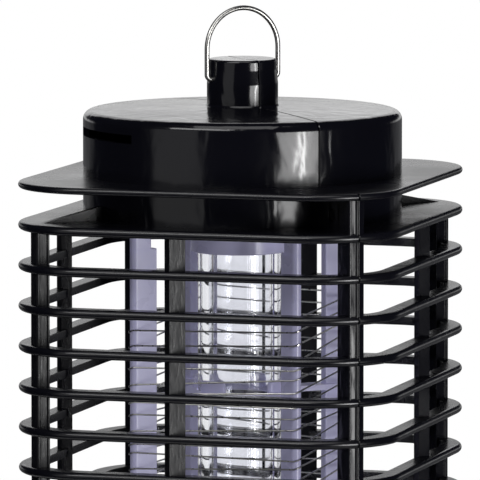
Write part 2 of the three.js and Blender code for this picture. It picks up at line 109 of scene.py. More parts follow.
world = bpy.data.worlds.new("studio")
world.use_nodes = True
bpy.context.scene.world = world
sky = world.node_tree
sky.nodes.clear()
room_dark = hex_colour("1b1c25")
sweep_white = (1.0, 1.0, 1.0, 1)
heading = add_node(sky, "ShaderNodeTexCoord").outputs["Generated"]
backward = Vector((-to_camera.x, -to_camera.y, 0)).normalized()
facing = add_node(sky, "ShaderNodeVectorMath", {"operation": "DOT_PRODUCT", 1: tuple(backward)}, {0: heading})
behind = add_node(sky, "ShaderNodeMapRange", {"interpolation_type": "SMOOTHSTEP", "From Min": 0.66,
                  "From Max": 0.86}, {"Value": facing.outputs["Value"]})
height = add_node(sky, "ShaderNodeSeparateXYZ", None, {0: heading})
low = add_node(sky, "ShaderNodeMapRange", {"interpolation_type": "SMOOTHSTEP", "From Min": 0.13,
               "From Max": 0.0}, {"Value": height.outputs["Z"]})
floor_fade = add_node(sky, "ShaderNodeMapRange", {"interpolation_type": "SMOOTHSTEP", "From Min": -0.06,
                      "From Max": 0.02, "To Min": 0.12}, {"Value": height.outputs["Z"]})
band = add_node(sky, "ShaderNodeMath", {"operation": "MULTIPLY"},
                {0: low.outputs["Result"], 1: floor_fade.outputs["Result"]})
patch = add_node(sky, "ShaderNodeMath", {"operation": "MULTIPLY"},
                 {0: behind.outputs["Result"], 1: band.outputs[0]})
mirrored = add_node(sky, "ShaderNodeMix", {"data_type": "RGBA", 6: room_dark, 7: sweep_white},
                    {0: patch.outputs[0]})
path = add_node(sky, "ShaderNodeLightPath")
straight = add_node(sky, "ShaderNodeMath", {"operation": "MAXIMUM"},
                    {0: path.outputs["Is Camera Ray"], 1: path.outputs["Is Transmission Ray"]})
seen = add_node(sky, "ShaderNodeMix", {"data_type": "RGBA", 7: sweep_white},
                {0: straight.outputs[0], 6: mirrored.outputs[2]})
emit = add_node(sky, "ShaderNodeBackground", {"Strength": 1.0}, {"Color": seen.outputs[2]})
add_node(sky, "ShaderNodeOutputWorld", None, {"Surface": emit.outputs[0]})


def softbox(name, azimuth, rise, distance, width, tall, radiance):
    light = bpy.data.lights.new(name, "AREA")
    light.shape = "RECTANGLE"
    light.size = width
    light.size_y = tall
    light.energy = radiance * math.pi * width * tall
    lamp = bpy.data.objects.new(name, light)
    bpy.context.collection.objects.link(lamp)
    a, e = math.radians(azimuth), math.radians(rise)
    way = Vector((math.sin(a) * math.cos(e), -math.cos(a) * math.cos(e), math.sin(e)))
    lamp.location = look_at + way * distance
    lamp.rotation_euler = (-way).to_track_quat("-Z", "Y").to_euler()
    return lamp


softbox("right_softbox", 57, -7, 0.9, 0.46, 0.32, 6)
softbox("right_core", 59, -7, 0.88, 0.07, 0.32, 20)
softbox("left_softbox", -30, 2, 0.9, 0.62, 0.5, 0.4)
softbox("top_softbox", 10, 62, 1.1, 0.9, 0.7, 1.6)
softbox("front_softbox", -15, 34, 1.2, 0.9, 0.3, 5.0)
softbox("back_left_fill", 200, 25, 1.2, 0.8, 0.8, 1.0)


# Table top under the lantern: a pale laminate, wide enough to stand on and no more.
table_radius = 0.2
table_drop = 0.0003
table_steps = 96
table_mesh = bpy.data.meshes.new("table_top")
shape = bmesh.new()
ring = [shape.verts.new((table_radius * math.cos(a), table_radius * math.sin(a), -table_drop))
        for a in (index * math.tau / table_steps for index in range(table_steps))]
shape.faces.new(ring)
shape.to_mesh(table_mesh)
shape.free()
table_top = bpy.data.objects.new("table_top", table_mesh)
bpy.context.collection.objects.link(table_top)


def new_material(name):
    material = bpy.data.materials.new(name)
    material.use_nodes = True
    tree = material.node_tree
    tree.nodes.clear()
    surface = add_node(tree, "ShaderNodeBsdfPrincipled")
    add_node(tree, "ShaderNodeOutputMaterial", None, {"Surface": surface.outputs[0]})
    place = add_node(tree, "ShaderNodeTexCoord").outputs["Object"]
    return material, tree, surface, place


laminate, tree, surface, place = new_material("pale_laminate")
surface.inputs["Base Color"].default_value = hex_colour("f4f4f4")
surface.inputs["Roughness"].default_value = 0.6
table_mesh.materials.append(laminate)


# Case halves. Two injection mouldings in black ABS, one each side of the upright plane through
# the front and back corners. Louvres, plates, drum and neck are all one piece in each half, and
# the halves are screwed together through webs at the two seam corners.
MM = 0.001
side_half = 62.5
corner_radius = 27
louver_pitch = 12.93
louver_count = 11
louver_width = 6
louver_thickness = 2.8
top_plate_z = 188
bottom_plate_z = top_plate_z - (louver_count + 1) * louver_pitch
head_flange_z = top_plate_z + louver_pitch
base_flange_z = bottom_plate_z - louver_pitch
flange_thickness = 2.2
drum_radius = 51.1
drum_bore = 49.1
cap_top_z = 223.6
neck_radius = 11.4
neck_top_radius = 10.9
neck_top_z = 238.9
bail_pivot_z = 232.5
seam_gap = 0.15
seam_ease = 0.22
front_seam = math.radians(-45)
back_seam = math.radians(135)
side_corner = math.radians(-135)
into_left = Vector((-math.sqrt(0.5), -math.sqrt(0.5)))


def half_path(corner_steps):
    """Arc centres and headings round the left half, from the front seam to the back seam."""
    inner = side_half - corner_radius
    entries = []
    corners = [((inner, -inner), -45, -90), ((-inner, -inner), -90, -180), ((-inner, inner), -180, -225)]
    for number, (centre, start, end) in enumerate(corners):
        steps = max(2, round(corner_steps * abs(end - start) / 90))
        for step in range(steps + 1):
            entries.append((Vector(centre), math.radians(start + (end - start) * step / steps)))
        if number < 2:
            far = Vector(corners[number + 1][0])
            for step in range(1, 6):
                entries.append((Vector(centre).lerp(far, step / 6), math.radians(end)))
    return entries


def path_point(entry, inset, shift):
    centre, heading_angle = entry
    reach = corner_radius - inset
    way = Vector((math.cos(heading_angle), math.sin(heading_angle)))
    return centre + way * reach + into_left * shift


def circle_point(entry, radius, shift):
    rim = path_point(entry, 0, 0)
    return rim.normalized() * radius + into_left * shift


def sweep_half(shape, profile, entries, place_point):
    """Lofts a closed profile of (across, z) along the half path, with eased ends at the seam."""
    middle_z = sum(z for across, z in profile) / len(profile)
    tallest = max(abs(z - middle_z) for across, z in profile)
    stations = [(entries[0], seam_gap, True), (entries[0], seam_gap + seam_ease, False)]
    stations += [(entry, 0, False) for entry in entries[1:-1]]
    stations += [(entries[-1], seam_gap + seam_ease, False), (entries[-1], seam_gap, True)]
    loops = []
    for entry, shift, end in stations:
        squeeze = 1 - seam_ease / tallest if end else 1
        loop = []
        for across, z in profile:
            point = place_point(entry, across, shift, end)
            height_now = middle_z + (z - middle_z) * squeeze
            loop.append(shape.verts.new((point.x * MM, point.y * MM, height_now * MM)))
        loops.append(loop)
    count = len(profile)
    for first, second in zip(loops, loops[1:]):
        for index in range(count):
            after = (index + 1) % count
            shape.faces.new((first[index], first[after], second[after], second[index]))
    shape.faces.new(loops[0])
    shape.faces.new(list(reversed(loops[-1])))


def rounded_edge(thickness, steps):
    half = thickness / 2
    angles = [-math.pi / 2 + math.pi * step / steps for step in range(steps + 1)]
    return [(half - half * math.cos(a), half * math.sin(a)) for a in angles]


edge_steps = 10


def louver_profile(z):
    nose = [(inset, z + rise) for inset, rise in rounded_edge(louver_thickness, edge_steps)]
    ease, corner = 0.35, 0.1
    half = louver_thickness / 2
    inner = [
        (louver_width - ease, z + half),
        (louver_width - corner, z + half - corner),
        (louver_width, z + half - ease),
        (louver_width, z - half + ease),
        (louver_width - corner, z - half + corner),
        (louver_width - ease, z - half),
    ]
    return nose + inner


def inset_place(entry, inset, shift, end):
    eased = inset + (seam_ease if end and inset < louver_width / 2 else 0)
    return path_point(entry, eased, shift)


def plate_profile(z, thickness, hole_radius):
    nose = [(inset, z + rise) for inset, rise in rounded_edge(thickness, edge_steps)]
    half = thickness / 2
    return nose + [(-hole_radius, z + half), (-hole_radius, z - half)]


def plate_place(entry, inset, shift, end):
    if inset < 0:
        return circle_point(entry, -inset, shift)
    return path_point(entry, inset + (seam_ease if end else 0), shift)


def half_turn(shape, outer, inner, steps, slot=None):
    """Turns a wall, given by its outer and inner profiles of (radius, z), half way round."""
    profile = outer + inner
    groove = 0.3
    rim_band, neck_band = 1.5, 0.5
    angles = [front_seam - math.pi * step / steps for step in range(steps + 1)]
    if slot:
        angles = sorted(set(angles + [slot["from"], slot["to"]]), reverse=True)
    stations = [(angles[0], seam_gap, True), (angles[0], seam_gap + seam_ease, False)]
    stations += [(angle, 0, False) for angle in angles[1:-1]]
    stations += [(angles[-1], seam_gap + seam_ease, False), (angles[-1], seam_gap, True)]
    loops = []
    for angle, shift, eased in stations:
        loop = []
        for index, (radius, z) in enumerate(profile):
            trim = groove if eased and index < len(outer) and radius > 1 else 0
            on_neck = neck_top_radius - neck_band < radius < neck_radius + 0.01
            on_top = radius < drum_radius - rim_band and not on_neck
            reach = radius - (0 if on_top else trim)
            z -= trim if on_top else 0
            x = reach * math.cos(angle) + into_left.x * shift
            y = reach * math.sin(angle) + into_left.y * shift
            loop.append(shape.verts.new((x * MM, y * MM, z * MM)))
        loops.append(loop)
    count = len(profile)
    for number, (first, second) in enumerate(zip(loops, loops[1:])):
        angle_middle = (stations[number][0] + stations[number + 1][0]) / 2
        open_here = slot and slot["to"] < angle_middle < slot["from"]
        for index in range(count):
            after = (index + 1) % count
            if open_here and index in (slot["outer"], slot["inner"]):
                continue
            shape.faces.new((first[index], first[after], second[after], second[index]))
        if open_here:
            low_out, high_out = slot["outer"], slot["outer"] + 1
            high_in, low_in = slot["inner"], slot["inner"] + 1
            shape.faces.new((first[low_out], second[low_out], second[low_in], first[low_in]))
            shape.faces.new((first[high_out], first[high_in], second[high_in], second[high_out]))
    if slot:
        for loop, (angle, shift, eased) in zip(loops, stations):
            if angle in (slot["from"], slot["to"]):
                low_out, high_out = slot["outer"], slot["outer"] + 1
                high_in, low_in = slot["inner"], slot["inner"] + 1
                shape.faces.new((loop[low_out], loop[low_in], loop[high_in], loop[high_out]))
    shape.faces.new(loops[0])
    shape.faces.new(list(reversed(loops[-1])))


def head_profile():
    """Outer and inner profiles of the drum, its crowned cap and the neck, with a vent slot."""
    slot_low, slot_high = 214.7, 217.5
    crown = 1.5
    rim_radius = 3
    shoulder = drum_radius - rim_radius
    crown_top = cap_top_z + 0.4
    foot_z = top_plate_z - louver_thickness / 2
    taper_low, taper_high = 231.3, 235.3
    taper_ease = 0.5
    neck_rim = 0.8
    neck_bore = 9
    outer = [(drum_radius, foot_z), (drum_radius, slot_low), (drum_radius, slot_high)]
    edge_z = crown_top - crown
    for step in range(9):
        a = math.pi / 2 * step / 8
        outer.append((shoulder + rim_radius * math.cos(a), edge_z - rim_radius + rim_radius * math.sin(a)))
    for step in range(1, 7):
        r = shoulder + (neck_radius + 0.4 - shoulder) * step / 6
        outer.append((r, crown_top - crown * (r / shoulder) ** 2))
    outer += [
        (neck_radius, crown_top + 0.4),
        (neck_radius, taper_low - taper_ease),
        (neck_radius - 0.02, taper_low),
        (neck_top_radius + 0.02, taper_high),
        (neck_top_radius, taper_high + taper_ease),
    ]
    for step in range(6):
        a = math.pi / 2 * step / 5
        outer.append((neck_top_radius - neck_rim + neck_rim * math.cos(a),
                      neck_top_z - neck_rim + neck_rim * math.sin(a)))
    outer += [(4, neck_top_z - 0.1), (0.01, neck_top_z - 0.15)]
    inner = [
        (0.01, neck_top_z - 2.4),
        (neck_bore, neck_top_z - 2.4),
        (neck_bore, cap_top_z - 2),
        (drum_bore, cap_top_z - 2.5),
        (drum_bore, slot_high),
        (drum_bore, slot_low),
        (drum_bore, foot_z),
    ]
    return outer, inner


def prism(shape, outline, bottom, top, angle, offset=(0, 0)):
    """Upright prism from an outline of (reach, side) on a diagonal heading."""
    turn = Matrix.Rotation(angle, 2)
    corners = [turn @ Vector(point) + Vector(offset) for point in outline]
    lower = [shape.verts.new((p.x * MM, p.y * MM, bottom * MM)) for p in corners]
    upper = [shape.verts.new((p.x * MM, p.y * MM, top * MM)) for p in corners]
    shape.faces.new(list(reversed(lower)))
    shape.faces.new(upper)
    for index in range(len(corners)):
        after = (index + 1) % len(corners)
        shape.faces.new((lower[index], lower[after], upper[after], upper[index]))


def screwed_web(shape, angle, bottom, top, side, thickness, recessed):
    """Half of a seam web; one of the two halves has a round screw recess in its outward face."""
    near, far, middle = drum_bore + 1, 70, 65
    recess_radius, recess_floor = 2.1, 1.8
    if not recessed:
        inward, outward = side * seam_gap, side * thickness
        prism(shape, [(near, inward), (far, inward), (far, outward), (near, outward)], bottom, top, angle)
        return
    centre_z = (bottom + top) / 2
    turn = Matrix.Rotation(angle, 2)

    def vert(reach, across, z):
        p = turn @ Vector((reach, across))
        return shape.verts.new((p.x * MM, p.y * MM, z * MM))

    steps = 32
    rings = {"hole": [], "rim": [], "floor": [], "back": []}
    for step in range(steps):
        a = math.tau * step / steps
        dx, dz = math.cos(a), math.sin(a)
        scale = min((far - middle if dx > 0 else middle - near) / max(abs(dx), 1e-6),
                    (top - centre_z) / max(abs(dz), 1e-6))
        for ring_name, out, depth in (("hole", recess_radius, thickness), ("floor", recess_radius, recess_floor),
                                      ("rim", scale, thickness), ("back", scale, seam_gap)):
            rings[ring_name].append(vert(middle + out * dx, side * depth, centre_z + out * dz))
    for first, second in (("floor", "hole"), ("hole", "rim"), ("rim", "back")):
        for step in range(steps):
            after = (step + 1) % steps
            low_ring, high_ring = rings[first], rings[second]
            shape.faces.new((low_ring[step], low_ring[after], high_ring[after], high_ring[step]))
    shape.faces.new(rings["floor"])
    shape.faces.new(list(reversed(rings["back"])))


def side_column(shape, angle):
    """Corner column with a shallow pocket in both side faces between every pair of louvres."""
    inner_face, outer_face, half, ease = 70.4, 75, 2.3, 0.4
    pocket_margin, pocket_slope, pocket_depth = 1.0, 0.25, 0.35
    outline = [
        (inner_face, -half),
        (outer_face - ease, -half),
        (outer_face, ease - half),
        (outer_face, half - ease),
        (outer_face - ease, half),
        (inner_face, half),
    ]
    levels = [bottom_plate_z + index * louver_pitch for index in range(louver_count + 2)]
    turn = Matrix.Rotation(angle, 2)
    corners = [turn @ Vector(point) for point in outline]
    rows = [[shape.verts.new((p.x * MM, p.y * MM, z * MM)) for p in corners] for z in levels]
    pockets = []
    for lower, upper in zip(rows, rows[1:]):
        for index in range(len(corners)):
            after = (index + 1) % len(corners)
            face = shape.faces.new((lower[index], lower[after], upper[after], upper[index]))
            if index in (0, 4):
                pockets.append(face)
    shape.faces.new(list(reversed(rows[0])))
    shape.faces.new(rows[-1])
    bmesh.ops.inset_individual(shape, faces=pockets, thickness=0.0, depth=0.0)
    bmesh.ops.inset_individual(shape, faces=pockets, thickness=pocket_margin * MM, depth=0.0)
    sunk = -pocket_depth * MM
    bmesh.ops.inset_individual(shape, faces=pockets, thickness=pocket_slope * MM, depth=sunk)


def smooth_object(name, mesh, angle=35):
    thing = bpy.data.objects.new(name, mesh)
    bpy.context.collection.objects.link(thing)
    for polygon in mesh.polygons:
        polygon.use_smooth = True
    mesh.set_sharp_from_angle(angle=math.radians(angle))
    return thing


def even_shading(thing):
    """Lets the large faces set the shading, so that long walls stay flat up to their edges."""
    even = thing.modifiers.new("even_shading", "WEIGHTED_NORMAL")
    even.weight = 100
    even.keep_sharp = True


def finish_shape(shape, name, mirror=False, angle=35):
    if mirror:
        for vert in shape.verts:
            vert.co.x, vert.co.y = -vert.co.y, -vert.co.x
    bmesh.ops.remove_doubles(shape, verts=shape.verts, dist=1e-6)
    bmesh.ops.recalc_face_normals(shape, faces=shape.faces)
    mesh = bpy.data.meshes.new(name)
    shape.to_mesh(mesh)
    shape.free()
    return smooth_object(name, mesh, angle)


# Black ABS off a polished steel mould: near-black with a wavy gloss, so the eye sees long soft
# streaks. The louvres come satin off a finer stoned cavity, the drum ripples where its wall
# sank while it cooled, and the posts of the right half stay almost flat.
def polished_abs(name, wave_mm, wave_depth_mm, finest, roughest):
    material, tree, surface, place = new_material(name)
    surface.inputs["Base Color"].default_value = hex_colour("0d0d13")
    surface.inputs["IOR"].default_value = 1.54
    stretch = add_node(tree, "ShaderNodeMapping", {"Scale": (1, 1, 0.45)}, {"Vector": place})
    shrink = add_node(tree, "ShaderNodeTexNoise", {"Scale": 1 / (wave_mm * MM), "Detail": 1.5,
                      "Distortion": 0.6}, {"Vector": stretch.outputs[0]})
    peel = add_node(tree, "ShaderNodeTexNoise", {"Scale": 1 / (1.3 * MM), "Detail": 2.0}, {"Vector": place})
    haze = add_node(tree, "ShaderNodeTexNoise", {"Scale": 1 / (24 * MM), "Detail": 4.0}, {"Vector": place})
    gloss = add_node(tree, "ShaderNodeMapRange", {"From Min": 0.35, "From Max": 0.7, "To Min": finest,
                     "To Max": roughest}, {"Value": haze.outputs["Fac"]})
    waves = add_node(tree, "ShaderNodeBump", {"Strength": 1.0, "Distance": wave_depth_mm * MM},
                     {"Height": shrink.outputs["Fac"]})
    skin = add_node(tree, "ShaderNodeBump", {"Strength": 0.35, "Distance": 0.008 * MM},
                    {"Height": peel.outputs["Fac"], "Normal": waves.outputs["Normal"]})
    tree.links.new(gloss.outputs["Result"], surface.inputs["Roughness"])
    tree.links.new(skin.outputs["Normal"], surface.inputs["Normal"])
    return material


glossy_abs = polished_abs("black_abs_fine_mould", 11, 0.12, 0.22, 0.32)
sunk_abs = polished_abs("black_abs_polished_mould", 7, 0.3, 0.12, 0.2)
flat_abs = polished_abs("black_abs_polished_flat", 16, 0.06, 0.1, 0.16)

# Black ABS, spark-eroded mould: the same plastic off a pitted cavity, so the columns look
# greyer and grainy where they catch the light.
grained_abs, tree, surface, place = new_material("black_abs_spark_eroded_mould")
surface.inputs["Base Color"].default_value = hex_colour("0e0e12")
surface.inputs["IOR"].default_value = 1.54
surface.inputs["Specular IOR Level"].default_value = 0.2
grain = add_node(tree, "ShaderNodeTexNoise", {"Scale": 1 / (0.45 * MM), "Detail": 3.0}, {"Vector": place})
drag = add_node(tree, "ShaderNodeMapping", {"Scale": (1, 1, 0.25)}, {"Vector": place})
scores = add_node(tree, "ShaderNodeTexNoise", {"Scale": 1 / (1.1 * MM), "Detail": 3.0},
                  {"Vector": drag.outputs[0]})
pits = add_node(tree, "ShaderNodeBump", {"Strength": 0.5, "Distance": 0.012 * MM},
                {"Height": grain.outputs["Fac"]})
ripple = add_node(tree, "ShaderNodeBump", {"Strength": 0.8, "Distance": 0.09 * MM},
                  {"Height": scores.outputs["Fac"], "Normal": pits.outputs["Normal"]})
sheen = add_node(tree, "ShaderNodeMapRange", {"From Min": 0.3, "From Max": 0.7, "To Min": 0.22,
                 "To Max": 0.4}, {"Value": scores.outputs["Fac"]})
tree.links.new(sheen.outputs["Result"], surface.inputs["Roughness"])
tree.links.new(ripple.outputs["Normal"], surface.inputs["Normal"])

# Plans of the seam column, as (reach, distance from the seam). The left half's has two upright
# ridges, and the right half's slopes away from the seam.
ridged_column = [
    (69, 0.15), (76.4, 0.15), (76.4, 0.35), (76.25, 0.55), (75.9, 0.65), (75.8, 0.8), (75.8, 2.2),
    (75.9, 2.35), (76.25, 2.45), (76.4, 2.65), (76.4, 2.85), (76.25, 3.15), (75.9, 3.3), (69, 3.3),
]
plain_column = [(69, 0.15), (76.3, 0.15), (76.35, 0.35), (75.95, 2.2), (75.6, 2.4), (69, 2.4)]
slat_thickness, long_slat, short_slat = 3.2, 5.8, 4
slat_places = {
    "left": ((long_slat, (-4.7, -57.9)), (short_slat, (-57.9, -6.8))),
    "right": ((long_slat, (-57.9, -4.7)), (short_slat, (-6.8, -57.9))),
}
vent = {"from": math.radians(-116.5), "to": math.radians(-161.5)}
louver_levels = [top_plate_z - (index + 1) * louver_pitch for index in range(louver_count)]
for node, mirror in (("shell_left", False), ("shell_right", True)):
    side = "right" if mirror else "left"
    entries = half_path(20)

    cage = bmesh.new()
    for z in louver_levels:
        sweep_half(cage, louver_profile(z), entries, inset_place)
    for z, thickness, hole in (
        (head_flange_z, flange_thickness, drum_radius - 0.6),
        (top_plate_z, louver_thickness, 17.1),
        (bottom_plate_z, louver_thickness, drum_radius - 0.6),
        (base_flange_z, flange_thickness, drum_radius - 0.6),
    ):
        sweep_half(cage, plate_profile(z, thickness, hole), entries, plate_place)
    cage = finish_shape(cage, f"cage_{side}", mirror)
    cage.data.materials.append(glossy_abs)

    drum = bmesh.new()
    outer, inner = head_profile()
    slot = dict(vent, outer=1, inner=len(outer) + 4)
    half_turn(drum, outer, inner, 72, slot)
    band_top, band_bottom = bottom_plate_z + louver_thickness / 2, 9.6
    half_turn(drum, [(drum_radius, band_bottom), (drum_radius, band_top)],
              [(drum_bore, band_top), (drum_bore, band_bottom)], 72)
    drum = finish_shape(drum, f"drum_{side}", mirror, 30)
    drum.data.materials.append(sunk_abs)

    seam_wall = bmesh.new()
    seam_half = ridged_column if not mirror else plain_column
    for angle, sign in ((front_seam, -1), (back_seam, 1)):
        outline = [(reach, sign * across) for reach, across in seam_half]
        prism(seam_wall, outline, base_flange_z, head_flange_z, angle)
        for top in (head_flange_z, bottom_plate_z):
            screwed_web(seam_wall, angle, top - louver_pitch, top, sign, seam_half[-1][1], not mirror)
    seam_wall = finish_shape(seam_wall, f"seam_wall_{side}", mirror, 30)
    seam_wall.data.materials.append(flat_abs if mirror else sunk_abs)

    posts = bmesh.new()
    side_column(posts, side_corner)
    for long, offset in slat_places[side]:
        half_long, half_thick = long / 2, slat_thickness / 2
        slat = [(-half_long, -half_thick), (half_long, -half_thick), (half_long, half_thick),
                (-half_long, half_thick)]
        prism(posts, slat, bottom_plate_z, top_plate_z, math.radians(45), offset)
    posts = finish_shape(posts, f"posts_{side}", mirror, 30)
    posts.data.materials.append(flat_abs if mirror else grained_abs)
    for piece in (seam_wall, posts):
        ease = piece.modifiers.new("eased_edges", "BEVEL")
        ease.width = 0.12 * MM
        ease.segments = 2
        ease.limit_method = "ANGLE"

    wedge = bmesh.new()
    turn = Matrix.Rotation(side_corner, 2)
    wedge_start, wedge_end, wedge_foot = 50.2, 72, 189.2
    rows = []
    for across in (-1, 1):
        row = []
        for reach, z in ((wedge_start, wedge_foot), (wedge_end, wedge_foot), (wedge_end, wedge_foot + 0.2),
                         (wedge_start, wedge_foot + 4.8)):
            p = turn @ Vector((reach, across))
            row.append(wedge.verts.new((p.x * MM, p.y * MM, z * MM)))
        rows.append(row)
    wedge.faces.new(rows[0])
    wedge.faces.new(list(reversed(rows[1])))
    for index in range(4):
        after = (index + 1) % 4
        wedge.faces.new((rows[0][index], rows[0][after], rows[1][after], rows[1][index]))
    wedge = finish_shape(wedge, f"gusset_{side}", mirror, 30)
    wedge.data.materials.append(glossy_abs)

    for piece in (cage, drum, seam_wall, posts, wedge):
        even_shading(piece)
        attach(piece, "case")
    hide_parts(node)


# Catch tray. A shallow cup moulded in the same black ABS; its spigot pushes up into the base
# band, and its flat underside is the foot of the lantern.
def full_turn(name, profile, steps, angle=35):
    shape = bmesh.new()
    loops = []
    for step in range(steps):
        a = math.tau * step / steps
        loops.append([shape.verts.new((r * math.cos(a) * MM, r * math.sin(a) * MM, z * MM))
                      for r, z in profile])
    count = len(profile)
    closed = profile[0][0] > 0 or profile[-1][0] > 0
    for first, second in zip(loops, loops[1:] + loops[:1]):
        for index in range(count if closed else count - 1):
            after = (index + 1) % count
            shape.faces.new((first[index], first[after], second[after], second[index]))
    bmesh.ops.remove_doubles(shape, verts=shape.verts, dist=1e-7)
    bmesh.ops.dissolve_degenerate(shape, edges=shape.edges, dist=1e-8)
    return finish_shape(shape, name, False, angle)


spigot, spigot_top = 48.8, 26
cup_wall, foot_radius, joint_z = 1.6, 1.6, 9.3
tray_profile = [(0, 0)]
for step in range(7):
    a = math.pi / 2 * step / 6
    tray_profile.append((drum_radius - foot_radius + foot_radius * math.sin(a),
                         foot_radius - foot_radius * math.cos(a)))
tray_profile += [
    (drum_radius, joint_z - 0.3),
    (drum_radius - 0.3, joint_z),
    (spigot, joint_z),
    (spigot, spigot_top - 0.4),
    (spigot - 0.4, spigot_top),
    (spigot - 1.2, spigot_top),
    (spigot - cup_wall, spigot_top - 0.4),
    (spigot - cup_wall, 3),
    (spigot - cup_wall - 1, 2),
    (0, 2),
]
tray = full_turn("catch_tray_cup", tray_profile, 128)
even_shading(tray)
tray.data.materials.append(glossy_abs)
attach(tray, "tray")
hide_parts("catch_tray")

# Bail. One length of 1.6 mm bright steel wire bent to an arch, its feet hooked into two holes
# across the neck so that it swings.
# Bright drawn steel: a mirror pulled lengthwise through a die, so its glints run along it.
drawn_steel, tree, surface, place = new_material("bright_drawn_steel")
surface.inputs["Base Color"].default_value = hex_colour("c9c8c4")
surface.inputs["Metallic"].default_value = 1
rub = add_node(tree, "ShaderNodeTexNoise", {"Scale": 1 / (1.5 * MM), "Detail": 4.0}, {"Vector": place})
tarnish = add_node(tree, "ShaderNodeMapRange", {"From Min": 0.3, "From Max": 0.7, "To Min": 0.24,
                   "To Max": 0.38}, {"Value": rub.outputs["Fac"]})
lines = add_node(tree, "ShaderNodeBump", {"Strength": 0.1, "Distance": 0.001 * MM},
                 {"Height": rub.outputs["Fac"]})
tree.links.new(tarnish.outputs["Result"], surface.inputs["Roughness"])
tree.links.new(lines.outputs["Normal"], surface.inputs["Normal"])


def wire(name, points, radius, sides, material, smooth=True):
    curve = bpy.data.curves.new(name, "CURVE")
    curve.dimensions = "3D"
    curve.bevel_depth = radius
    curve.bevel_resolution = sides
    curve.use_fill_caps = True
    spline = curve.splines.new("POLY")
    spline.points.add(len(points) - 1)
    for point, place_now in zip(spline.points, points):
        point.co = (*place_now, 1)
    spline.use_smooth = smooth
    curve.materials.append(material)
    thing = bpy.data.objects.new(name, curve)
    bpy.context.collection.objects.link(thing)
    return thing


across = Vector((math.sqrt(0.5), math.sqrt(0.5), 0))
bail_half = 12.85
bail_wire = 0.8
arch_z = cad_high[2] / MM - bail_wire - bail_half
bend = 1.6
foot_reach = 7.6
side_points = [(foot_reach, bail_pivot_z)]
for step in range(9):
    a = -math.pi / 2 + math.pi / 2 * step / 8
    side_points.append((bail_half - bend + bend * math.cos(a), bail_pivot_z + bend + bend * math.sin(a)))
for step in range(25):
    a = math.pi / 2 * step / 24
    side_points.append((bail_half * math.cos(a), arch_z + bail_half * math.sin(a)))
bail_points = side_points + [(-s, z) for s, z in reversed(side_points[:-1])]
bail_line = [(across * s + Vector((0, 0, z))) * MM for s, z in bail_points]
bail = wire("bail_wire", bail_line, bail_wire * MM, 6, drawn_steel)
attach(bail, "bail")
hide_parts("bail")

# Light tube. Thick clear acrylic tube, cut and flame-polished, that carries the light of the
# lamps in the head down the middle of the grid.
# Clear cast acrylic: almost invisible in the bore, with the thick wall reading as grey edges.
acrylic, tree, surface, place = new_material("clear_cast_acrylic")
surface.inputs["Base Color"].default_value = hex_colour("eeeff4")
surface.inputs["Transmission Weight"].default_value = 1
surface.inputs["IOR"].default_value = 1.49
smear = add_node(tree, "ShaderNodeTexNoise", {"Scale": 1 / (9 * MM), "Detail": 5.0}, {"Vector": place})
film = add_node(tree, "ShaderNodeMapRange", {"From Min": 0.45, "From Max": 0.75, "To Min": 0.0,
                "To Max": 0.09}, {"Value": smear.outputs["Fac"]})
draw = add_node(tree, "ShaderNodeBump", {"Strength": 0.3, "Distance": 0.01 * MM},
                {"Height": smear.outputs["Fac"]})
tree.links.new(film.outputs["Result"], surface.inputs["Roughness"])
tree.links.new(draw.outputs["Normal"], surface.inputs["Normal"])

insert_x = -1
tube_low, tube_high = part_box("lamp_tube")
tube_bottom, tube_top = tube_low[2] / MM, tube_high[2] / MM
tube_radius, tube_bore, tube_ease = 13.4, 10, 0.3
tube_profile = [
    (tube_bore, tube_bottom + tube_ease),
    (tube_bore + tube_ease, tube_bottom),
    (tube_radius - tube_ease, tube_bottom),
    (tube_radius, tube_bottom + tube_ease),
    (tube_radius, tube_top - tube_ease),
    (tube_radius - tube_ease, tube_top),
    (tube_bore + tube_ease, tube_top),
    (tube_bore, tube_top - tube_ease),
]
tube = full_turn("light_tube", tube_profile, 160, 30)
tube.location.x = insert_x * MM
even_shading(tube)
tube.data.materials.append(acrylic)
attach(tube, "case")
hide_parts("lamp_tube")

# Lilac pieces. The collar round the tube, the four fins, the brace and the base spider are
# moulded in a milky lilac polystyrene; a faint even emission paints a glow over all of them.
lilac, tree, surface, place = new_material("milky_lilac_polystyrene")
surface.inputs["IOR"].default_value = 1.57
surface.inputs["Subsurface Weight"].default_value = 0.25
surface.inputs["Subsurface Radius"].default_value = (1.0, 0.95, 1.2)
surface.inputs["Subsurface Scale"].default_value = 2.5 * MM
# Painted glow: an even emission that lightens every lilac face alike, though the plastic is no lamp.
surface.inputs["Emission Color"].default_value = hex_colour("aeacc9")
surface.inputs["Emission Strength"].default_value = 0.18
flow = add_node(tree, "ShaderNodeTexNoise", {"Scale": 1 / (14 * MM), "Detail": 3.0}, {"Vector": place})
tint = add_node(tree, "ShaderNodeMix", {"data_type": "RGBA", 6: hex_colour("a7a5cb"),
                7: hex_colour("c2c1de")}, {0: flow.outputs["Fac"]})
satin = add_node(tree, "ShaderNodeMapRange", {"From Min": 0.3, "From Max": 0.7, "To Min": 0.24,
                 "To Max": 0.36}, {"Value": flow.outputs["Fac"]})
fine = add_node(tree, "ShaderNodeTexNoise", {"Scale": 1 / (1.6 * MM), "Detail": 2.0}, {"Vector": place})
dimple = add_node(tree, "ShaderNodeBump", {"Strength": 0.3, "Distance": 0.02 * MM},
                  {"Height": fine.outputs["Fac"]})
tree.links.new(tint.outputs[2], surface.inputs["Base Color"])
tree.links.new(satin.outputs["Result"], surface.inputs["Roughness"])
tree.links.new(dimple.outputs["Normal"], surface.inputs["Normal"])

